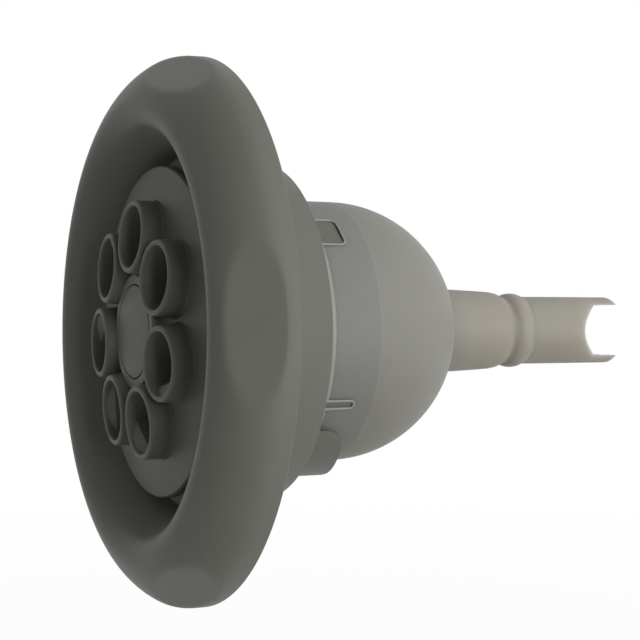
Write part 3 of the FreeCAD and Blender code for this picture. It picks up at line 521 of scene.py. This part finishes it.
def face_profile(settings):
    """The whole section of the grey moulding, from the mouth lip round to the barrel."""
    rim = settings.rim_radius * 1000
    rear = settings.rim_rear * 1000
    # The front is three rounds that run into each other at these angles, with one wall behind them.
    lip, face, shoulder, wall = 5.5, 17.0, 8.0, 3.0
    to_recess, to_face, to_shoulder = 152.3, 69.7, 30.0
    lip_radius = rim - shoulder * (1 - cosine(to_shoulder))
    lip_radius -= face * (cosine(to_shoulder) - cosine(to_face)) + lip * cosine(to_face)
    lip_centre = (lip, lip_radius)
    face_centre = (lip + (face - lip) * sine(to_face), lip_radius + (lip - face) * cosine(to_face))
    shoulder_centre = (face_centre[0] + (shoulder - face) * sine(to_shoulder), rim - shoulder)

    def front(depth):
        """The three rounds at a depth under the surface, from the recess to the rim."""
        return (
            arc(lip_centre, lip - depth, to_recess, to_face, 14)
            + arc(face_centre, face - depth, to_face, to_shoulder, 18)[1:]
            + arc(shoulder_centre, shoulder - depth, to_shoulder, 0, 8)[1:]
        )

    def recess(station, depth):
        """The radius of the recess's cone at a station and a depth under its surface."""
        start = arc(lip_centre, lip - depth, to_recess, to_recess, 1)[0]
        return start[1] - (station - start[0]) * math.tan(math.radians(180 - to_recess))

    floor, back, neck_rear = 14.3, 16.9, 33.4
    step_wall = 2.4
    throat, throat_outer, throat_end = 33.2, 35.6, 24.0
    barrel, barrel_outer, barrel_start = 26.8, 29.0, 34.8
    corners = [(floor, throat, 0.4), (floor, recess(floor, 0), 1.2)]
    corners += front(0)
    corners += [(rear, rim, 0.5), (rear, rim - step_wall, 0.3)]
    corners += list(reversed(front(wall)))
    corners += [
        (back, recess(back, wall), 1.5),
        (neck_rear, 39.6, 0.45),
        (neck_rear, 37.2, 0.35),
        (back, recess(back, wall) - step_wall, 1.0),
        (back, throat_outer, 0.8),
        (throat_end, throat_outer, 1.0),
        (barrel_start, barrel_outer, 1.5),
        (BARREL_END, barrel_outer, 0.3),
        (BARREL_END, barrel, 0.3),
        (barrel_start, barrel, 1.5),
        (throat_end, throat, 0.2),
    ]
    # The snap bead in the throat.
    corners += [(23.6, 32.2, 0.2), (22.8, 32.2, 0.2), (22.4, throat, 0.2)]
    return rounded(corners)


class JET_OT_face(Operator):
    """Make the grey face with its finger flats, recess, ribs, neck, barrel and tongue"""

    bl_idname = "jet.face"
    bl_label = "Face"

    def execute(self, context):
        settings = context.scene.jet_face
        abs_grey = FINISHES["abs"]
        shell = turned("jet_face", face_profile(settings), abs_grey, 320)
        # Station and depth under the rim, in millimetres, of the front and the rear of a flat's middle line.
        (front, front_depth), (rear, rear_depth) = (1.35, 7.6), (12.3, 0.05)
        run_tree(
            shell,
            TREES["flats"],
            Count=settings.flat_count,
            Turn=settings.flat_turn,
            Station=(front - DATUM) / 1000,
            Radius=settings.rim_radius - front_depth / 1000,
            Slope=math.atan2(front_depth - rear_depth, rear - front),
            Softness=settings.flat_softness,
            Material=abs_grey,
        )
        settle(shell)
        section = [(12.3, 62.0), (8.0, 59.6), (5.3, 53.6), (5.0, 49.6), (16.9, 42.2), (22.0, 41.0)]
        rib = block("rib", section, half_width=0.8, turn=110)
        rib.data.materials.append(abs_grey)
        run_tree(rib, TREES["round"], Count=settings.rib_count, Turn=0.0, Material=abs_grey)
        settle(rib)
        # The barrel's lug stands in the collar's notch, and its key in the slit.
        lug = self.lug("lug", NOTCH_TURN, width=7.9, rear=44.0, top=31.0, ease=1.1)
        key = self.lug("key", SLIT_TURN, width=1.6, rear=44.7, top=31.1, ease=0.7)
        piece = joined("face_moulding", [shell, rib, self.tongue(), lug, key], abs_grey)
        hand_over(piece, "housing", ["escutcheon"])
        return {"FINISHED"}

    def tongue(self):
        """The curved tongue beside the collar, with its two rear corners rounded."""
        inner, outer, middle, half = 32.8, 35.0, -72.0, 29.0
        front, bevel, rear, corner = 25.5, 1.5, 43.6, 4.0
        slant, slant_from, slant_most = 0.125, -47.0, 3.7
        steps = 36
        vertices, faces = [], []
        for i in range(steps + 1):
            across = (2 * i / steps - 1) * half
            to_side = (half - abs(across)) * math.radians(1) * outer
            # The rear edge slants back from the upper corner, and is square for the rest.
            end = rear + min(slant_most, max(0.0, slant * (slant_from - middle - across)))
            if to_side < corner:
                end += math.sqrt(max(corner**2 - (corner - to_side) ** 2, 0)) - corner
            x, z = cosine(middle + across), sine(middle + across)
            for s, r in ((front + bevel, inner), (end, inner), (end, outer), (front - bevel, outer)):
                vertices.append((r * x / 1000, (s - DATUM) / 1000, r * z / 1000))
            if i:
                b = 4 * (i - 1)
                faces += [(b + k, b + (k + 1) % 4, b + 4 + (k + 1) % 4, b + 4 + k) for k in range(4)]
        faces += [(0, 1, 2, 3), tuple(4 * steps + k for k in (3, 2, 1, 0))]
        return face_outwards(mesh_object("tongue", vertices, [], faces))

    def lug(self, name, turn, width, rear, top, ease):
        """A low lug on the barrel, square to the jet's axis, with eased rear corners."""
        front, root = 35.2, 28.6
        half = width / 2
        outline = [(front, -half), (front, half)]
        outline += [(rear - ease + ease * math.sin(a), half - ease + ease * math.cos(a)) for a in QUARTER_TURN]
        outline += [(rear - ease + ease * math.cos(a), ease - half - ease * math.sin(a)) for a in QUARTER_TURN]
        return prism(name, outline, root, top, turn)


class JET_OT_rotor(Operator):
    """Make the spinning rotor with its splayed ports and the ramp inside each"""

    bl_idname = "jet.rotor"
    bl_label = "Rotor"

    def execute(self, context):
        settings = context.scene.jet_rotor
        abs_grey = FINISHES["abs"]
        disc = turned("disc", self.disc_profile(), abs_grey)
        # The holes lie between the ports' bores and outsides, and reach past the disc both ways.
        reach, front, rear = 7.7, -6, 22
        hole = turned("hole", [(front, 0), (front, reach), (rear, reach), (rear, 0)], abs_grey, 64)
        self.repeat(hole, settings)
        cut(disc, [hole])

        port = turned("port", self.port_profile(settings), abs_grey, 128)
        port = joined("port", [port, self.ramp(settings, abs_grey)], abs_grey)
        self.repeat(port, settings)
        piece = joined("rotor_moulding", [disc, port], abs_grey)
        hand_over(piece, "spinning_rotor", ["rotor"])
        return {"FINISHED"}

    def disc_profile(self):
        """The section of the boss, the disc, the skirt behind it and the hub with its ring's groove."""
        cap_seat, cap_ledge = 10.95, 3.74
        boss, boss_front, boss_foot = 13.4, 1.9, 4.5
        cone_rear, edge, disc_rear = 7.1, 38.3, 9.7
        skirt, skirt_inner, skirt_rear = 32.6, 30.8, 21.5
        hub, hub_bore, hub_rear = 13.6, 11.02, 20.4
        groove, groove_front, groove_rear = 11.62, 17.0, 18.3
        cavity, bearing_front = 9.4, 11.0
        corners = [
            (boss_front, cap_seat, 0.25),
            (boss_front, boss, 0.7),
            (boss_foot, boss, 0.6),
            (cone_rear, 38.0, 0.35),
            (7.6, edge, 0.3),
            (disc_rear, edge, 0.3),
            (disc_rear, skirt, 0.5),
            (skirt_rear, skirt, 0.3),
            (skirt_rear, skirt_inner, 0.3),
            (disc_rear, skirt_inner, 0.5),
            (cone_rear, hub, 0.5),
            (hub_rear, hub, 0.4),
            (hub_rear, hub_bore, 0.2),
            (groove_rear, hub_bore),
            (groove_rear, groove),
            (groove_front, groove),
            (groove_front, hub_bore),
            (bearing_front, hub_bore),
            (bearing_front, cavity, 0.2),
            (cap_ledge, cavity),
            (cap_ledge, cap_seat),
        ]
        return rounded(corners, 4)

    def port_profile(self, settings):
        """A port's section about its own axis, its depth counted from the lip."""
        outer, bore = settings.port_radius * 1000, settings.port_bore * 1000
        corners = [(0, bore, 0.45), (0, outer, 0.7)]
        # The foot flares where it stands on the disc.
        corners += [(4.6, outer + 0.35, 1.2), (6.6, outer + 1.2, 0.3), (8.2, outer + 0.6, 0.3), (9.4, outer, 0.3)]
        corners += [(PORT_DEPTH, 8.3, 0.3), (PORT_DEPTH, bore, 0.2)]
        return rounded(corners, 6)

    def ramp(self, settings, material):
        """The wedge that fills one side of a port and throws its stream sideways."""
        sunk = settings.port_bore * 1000 + 0.3
        section = [(0.6, sunk), (2.2, 4.3), (PORT_DEPTH, 1.8), (PORT_DEPTH, sunk)]
        wedge = block("ramp", section, half_width=sunk)
        wedge.data.materials.append(material)
        keep = turned("keep", [(-1, 0), (-1, sunk), (18, sunk), (18, 0)], material, 64)
        cut(wedge, [keep], "INTERSECT")
        # The block lies straight out from the jet's axis; the ramp sits 60 degrees round the port from there.
        wedge.data.transform(Matrix.Rotation(math.radians(60), 4, "Y"))
        return wedge

    def repeat(self, obj, settings):
        """Move a piece made about the jet's axis to the first port's place and lean, and repeat it in every port."""
        lip_front = 0.24
        lip = Vector((settings.port_pitch, (lip_front - DATUM) / 1000, 0))
        lean = Matrix.Rotation(settings.port_splay, 4, "Z")
        start = Matrix.Translation((0, DATUM / 1000, 0))
        obj.data.transform(Matrix.Translation(lip) @ lean @ start)
        values = {"Count": settings.port_count, "Turn": settings.turn, "Material": FINISHES["abs"]}
        run_tree(obj, TREES["round"], **values)
        settle(obj)


class JET_OT_cap(Operator):
    """Make the cap that closes the rotor's boss"""

    bl_idname = "jet.cap"
    bl_label = "Cap"

    def execute(self, context):
        front, rear, ring_rear = 1.84, 3.74, 6.74
        edge, ring, ring_inner = 10.75, 9.3, 8.0
        profile = [(front, 0), (front, edge, 0.35), (rear, edge, 0.1)]
        profile += [(rear, ring, 0.1), (ring_rear, ring, 0.3), (ring_rear, ring_inner, 0.3), (rear, ring_inner, 0.3)]
        profile += [(rear, 0)]
        piece = turned("rotor_cap_disc", rounded(profile), FINISHES["abs"])
        hand_over(piece, "spinning_rotor", ["rotor_cap"])
        return {"FINISHED"}


class JET_OT_diffuser(Operator):
    """Make the translucent collar, dome and forked stem"""

    bl_idname = "jet.diffuser"
    bl_label = "Diffuser"

    def execute(self, context):
        settings = context.scene.jet_diffuser
        outer = settings.dome_radius * 1000
        inner = outer - settings.wall * 1000
        # The dome starts square at its centre, and ends outside at the stem's root and inside at the stem's mouth.
        centre, root, mouth = (51.1, 0), 10.6, 8.4
        to_root, to_mouth = (math.degrees(math.asin(share)) - 90 for share in (root / outer, mouth / inner))
        stem, stem_bore, stem_rear = 8.8, 6.9, 135.3
        profile = [(COLLAR_FRONT, inner, 0.3), (COLLAR_FRONT, outer, 0.4)]
        profile += arc(centre, outer, 0, to_root, 40)
        profile += [(86.9, 10.45), (92.5, 10.2), (97.2, 9.95), (99.2, 9.6, 2.0)]
        # The stem's bead, with a dip on both its sides.
        profile += [(101.0, 8.72, 0.5), (101.9, 8.7, 0.3)] + arc((104.6, 5.52), 4.1, 38, -37, 14) + [(107.5, 8.78, 0.5)]
        profile += [(120.8, stem), (stem_rear - 0.4, stem, 0.2), (stem_rear, stem - 0.4, 0.2)]
        profile += [(stem_rear, stem_bore, 0.2), (92.0, stem_bore, 8.0)]
        profile += list(reversed(arc(centre, inner, 0, to_mouth, 36)))
        profile += [(BARREL_END, inner - 0.95, 0.2), (BARREL_END, inner, 0.1)]
        shell = turned("diffuser_shell", rounded(profile), FINISHES["natural"], 256)
        notch = self.pocket(width=8.7, foot=44.4, corner=1.5)
        slit = self.pocket(width=2.1, foot=45.0, corner=1.0)
        tools = [self.fork(), self.pocket_tool(notch, NOTCH_TURN), self.pocket_tool(slit, SLIT_TURN)]
        cut(shell, tools)
        shell.name = "diffuser_moulding"
        hand_over(shell, "housing", ["diffuser"])
        # The raised edge is painted paler than the walls: a painted glow where light pipes out of it.
        edge = plain_material("natural_polypropylene_painted_glow_edge", (*settings.edge_painted_glow, 1.0), roughness=0.5, ior=1.49)
        bead = self.bead(outer, [(slit, SLIT_TURN), (notch, NOTCH_TURN)])
        bead.data.materials.append(edge)
        bead.data.shade_smooth()
        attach(bead, "housing")
        return {"FINISHED"}

    def fork(self):
        """The tool for the round-ended slot that goes right through the stem's end."""
        half, apex, beyond, curve, reach = 6.7, 122.6, 140.0, 0.1137, 12
        outline = [(beyond, half), (beyond, -half)]
        outline += [(apex + curve * z * z, z) for z in [half * (i / 16 - 1) for i in range(33)]]
        return prism("fork", outline, -reach, reach)

    def pocket(self, width, foot, corner):
        """A cut in the collar's front edge, as (station, across) points from one side round to the other."""
        half = width / 2
        near = [(foot - corner + corner * math.sin(a), corner - half - corner * math.cos(a)) for a in QUARTER_TURN]
        return [(COLLAR_FRONT, -half)] + near + [(s, -w) for s, w in reversed(near)] + [(COLLAR_FRONT, half)]

    def pocket_tool(self, shape, turn):
        """The tool that takes a pocket out of the collar, open in front of it."""
        beyond, low, high = 34, 20, 40
        return prism("pocket", shape + [(beyond, shape[-1][1]), (beyond, shape[0][1])], low, high, turn)

    def bead(self, outer, pockets):
        """The fine raised edge that runs round the collar's front, the notch and the slit, and carries the painted
        glow.

        Its path lies on the unrolled collar, x along the jet and y round it, and ends one lap from where it starts.
        """
        high, sunk, spacing = 0.15, -0.3, 1.2
        wide, narrow = 0.6, 0.3
        inset = 0.9
        lap = Vector((0, math.tau * outer))
        path = []
        for shape, turn in pockets:
            path += [Vector((max(s, COLLAR_FRONT + inset), math.radians(turn) * outer + w)) for s, w in shape]
        full = []
        for point, after in zip(path, path[1:] + [path[0] + lap]):
            steps = max(1, int((after - point).length / spacing))
            full += [point.lerp(after, k / steps) for k in range(steps)]
        vertices, faces = [], []
        count = len(full)
        befores = [full[-1] - lap] + full[:-1]
        afters = full[1:] + [full[0] + lap]
        for i, (before, point, after) in enumerate(zip(befores, full, afters)):
            aside = (after - before).normalized().orthogonal()
            half = wide if point.x < COLLAR_FRONT + 1 else narrow
            section = [(-half, sunk), (-half, 0.0), (-half / 2, high), (half / 2, high), (half, 0.0), (half, sunk)]
            for off, rise in section:
                place = point + aside * off
                a, r = place.y / outer, outer + rise
                vertices.append((r * math.cos(a) / 1000, (place.x - DATUM) / 1000, r * math.sin(a) / 1000))
            b, c = 6 * i, 6 * ((i + 1) % count)
            faces += [(b + k, b + (k + 1) % 6, c + (k + 1) % 6, c + k) for k in range(6)]
        return face_outwards(mesh_object("bead", vertices, [], faces))


class JET_OT_bearing(Operator):
    """Give the bearing, its carrier, screw, washer and ring their finishes"""

    bl_idname = "jet.bearing"
    bl_label = "Bearing and carrier"

    def execute(self, context):
        steel = plain_material("ground_stainless_steel", hex_colour("#b9b9b6"), roughness=0.25, metallic=1.0)
        nylon = plain_material("moulded_nylon_cage", hex_colour("#b39a6c"), roughness=0.45, ior=1.53)
        acetal = plain_material("moulded_white_acetal", hex_colour("#c9c8c2"), roughness=0.35, ior=1.48)
        finishes = {"bearing_carrier": acetal, "bearing_cage": nylon}
        for name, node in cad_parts.items():
            if name.startswith(("bearing_", "carrier_", "screw_")):
                node.data.materials.clear()
                node.data.materials.append(finishes.get(name, steel))
        return {"FINISHED"}


class JET_OT_studio(Operator):
    """Set the pale floor, the soft lamps and the camera at the photograph's view"""

    bl_idname = "jet.studio"
    bl_label = "Studio"

    def execute(self, context):
        settings = context.scene.jet_studio
        scene = context.scene
        scene.view_settings.view_transform = "Standard"
        self.world(scene, settings.fill)
        self.floor()
        self.lamp("key_beside_camera", (0.9, 0.42, 0.0), size=0.7, level=settings.key)
        self.lamp("side_front", (0.95, -0.07, 0.08), size=0.25, level=settings.side)
        self.lamp("overhead", (0.5, 0.42, 0.75), size=0.8, level=settings.overhead)

        data = bpy.data.cameras.new("photo_view")
        data.sensor_width = 36
        data.lens = settings.lens
        camera = bpy.data.objects.new("photo_view", data)
        scene.collection.objects.link(camera)
        # In metres in the frame, as fitted to the photograph's outlines.
        eye = Vector((0.31443, -0.15199, 0.00268))
        aim = Vector((0, 0.00174, 0.00268))
        camera.location = eye
        camera.rotation_euler = (aim - eye).to_track_quat("-Z", "Y").to_euler()
        scene.camera = camera
        return {"FINISHED"}

    def world(self, scene, level):
        """White where it is seen, and an even light of a lower level where it lights the jet."""
        world = bpy.data.worlds.new("white_studio")
        world.use_nodes = True
        scene.world = world
        tree = world.node_tree
        tree.nodes.clear()
        strength = add(tree, "ShaderNodeMapRange", {"Value": self.seen(tree), "To Min": level, "To Max": 1.0})
        light = add(tree, "ShaderNodeBackground", {"Color": (1, 1, 1, 1), "Strength": strength.outputs[0]})
        add(tree, "ShaderNodeOutputWorld", {"Surface": light.outputs[0]})

    def seen(self, tree):
        """1 where a ray sees the background straight, in a gloss or through a clear piece, and 0 where it lights."""
        rays = add(tree, "ShaderNodeLightPath").outputs
        seen = rays["Is Camera Ray"]
        for kind in ("Is Transmission Ray", "Is Glossy Ray"):
            seen = maths(tree, "MAXIMUM", seen, rays[kind])
        return seen

    def floor(self):
        """A pale floor that fades out into the white round it and keeps a soft shadow."""
        reach, z = 3.0, -0.115
        corners = [(-reach, -reach, z), (reach, -reach, z), (reach, reach, z), (-reach, reach, z)]
        obj = mesh_object("floor", corners, [], [(0, 1, 2, 3)])
        material = bpy.data.materials.new("pale_floor")
        material.use_nodes = True
        tree = material.node_tree
        tree.nodes.clear()
        paint = add(tree, "ShaderNodeBsdfDiffuse", {"Color": hex_colour("#f4f4f2")})
        white = add(tree, "ShaderNodeEmission", {"Color": (1, 1, 1, 1), "Strength": 1.0})
        # Where it is seen, the lamps shade only a small part of its white, so its shadow stays faint.
        share = maths(tree, "MULTIPLY", self.seen(tree), 0.96)
        mixed = add(tree, "ShaderNodeMixShader", {0: share, 1: paint.outputs[0], 2: white.outputs[0]})
        coords = add(tree, "ShaderNodeTexCoord")
        away = add(tree, "ShaderNodeVectorMath", {0: coords.outputs["Object"]}, operation="LENGTH")
        fade = add(tree, "ShaderNodeMapRange", {"Value": away.outputs["Value"], "From Min": 0.25, "From Max": 0.6})
        clear = add(tree, "ShaderNodeBsdfTransparent")
        faded = add(tree, "ShaderNodeMixShader", {0: fade.outputs[0], 1: mixed.outputs[0], 2: clear.outputs[0]})
        add(tree, "ShaderNodeOutputMaterial", {"Surface": faded.outputs[0]})
        obj.data.materials.append(material)

    def lamp(self, name, place, size, level):
        """A square lamp aimed at the jet; level 1 lights a surface that faces it to its own colour."""
        data = bpy.data.lights.new(name, "AREA")
        data.shape = "SQUARE"
        data.size = size
        spot = Vector(place)
        data.energy = level * math.pi**2 * spot.length_squared
        lamp = bpy.data.objects.new(name, data)
        lamp.location = spot
        lamp.rotation_euler = (-spot).to_track_quat("-Z", "Y").to_euler()
        bpy.context.scene.collection.objects.link(lamp)


class JET_PT_panel(Panel):
    """Lists the jet's pieces and their settings"""

    bl_idname = "JET_PT_panel"
    bl_label = "Hot Tub Jet"
    bl_space_type = "VIEW_3D"
    bl_region_type = "UI"
    bl_category = "Jet"

    def draw(self, context):
        for group in GROUPS:
            settings = getattr(context.scene, group)
            for name in settings.__annotations__:
                self.layout.prop(settings, name)
        for operator in OPERATORS:
            self.layout.operator(operator.bl_idname)


GROUPS = {
    "jet_face": JetFaceSettings,
    "jet_rotor": JetRotorSettings,
    "jet_diffuser": JetDiffuserSettings,
    "jet_studio": JetStudioSettings,
}
OPERATORS = (JET_OT_face, JET_OT_rotor, JET_OT_cap, JET_OT_diffuser, JET_OT_bearing, JET_OT_studio)
TREES = {}
FINISHES = {}


def register():
    for cls in (*GROUPS.values(), *OPERATORS, JET_PT_panel):
        bpy.utils.register_class(cls)
    for name, group in GROUPS.items():
        setattr(bpy.types.Scene, name, PointerProperty(type=group))


def unregister():
    for name in GROUPS:
        delattr(bpy.types.Scene, name)
    for cls in reversed((*GROUPS.values(), *OPERATORS, JET_PT_panel)):
        bpy.utils.unregister_class(cls)


def main():
    register()
    scene = bpy.context.scene
    TREES.update(lathe=lathe_tree(), flats=flats_tree(), round=round_tree())
    FINISHES["abs"] = moulded_abs((*scene.jet_face.colour, 1.0))
    # The diffuser's colours carry painted shade and light.
    shades = scene.jet_diffuser
    colours = [(*c, 1.0) for c in (shades.collar_painted_shade, shades.dome_painted_shade, shades.stem_painted_light)]
    FINISHES["natural"] = natural_polypropylene(*colours)
    bpy.ops.jet.face()
    bpy.ops.jet.rotor()
    bpy.ops.jet.cap()
    bpy.ops.jet.diffuser()
    bpy.ops.jet.bearing()
    bpy.ops.jet.studio()


if __name__ == "__main__":
    main()
